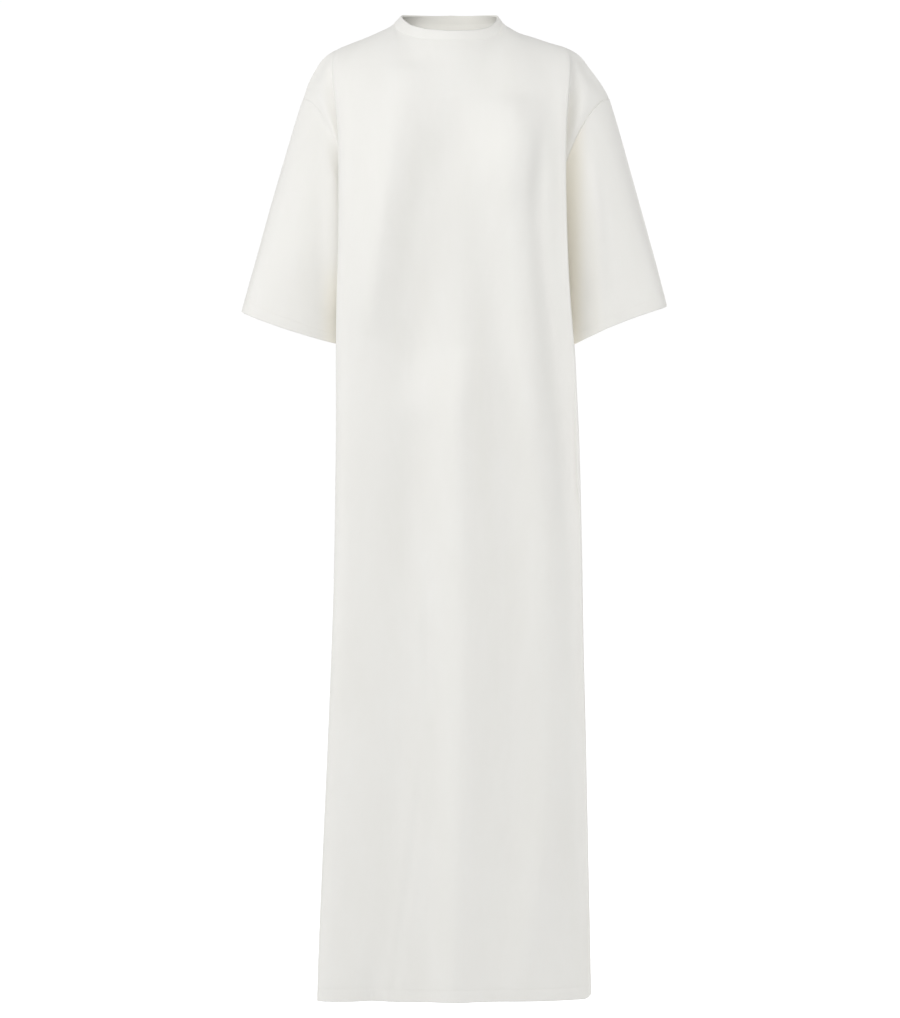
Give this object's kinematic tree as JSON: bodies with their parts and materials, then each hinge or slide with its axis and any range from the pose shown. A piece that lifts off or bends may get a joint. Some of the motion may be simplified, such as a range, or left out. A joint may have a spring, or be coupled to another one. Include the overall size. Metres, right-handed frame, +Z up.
{
  "type": "t-shirt dress",
  "caption": "Maxi t-shirt dress in heavy smooth jersey with a round neckband, dropped shoulders and elbow-length sleeves, standing hollow as worn.",
  "frame": {"origin": "middle of the neck, at the height where the shoulder seams meet the neckline", "axes": "+Z up along the dress, +X to the wearer's left, -Y out of the chest"},
  "size_m": [0.616, 0.2414, 1.4266],
  "materials": {
    "jersey": "matte",
    "neckband": "matte"
  },
  "bodies": {
    "root": {"front": "jersey", "back": "jersey", "sleeve_left": "jersey", "sleeve_right": "jersey", "neckband": "neckband"}
  },
  "joints": []
}
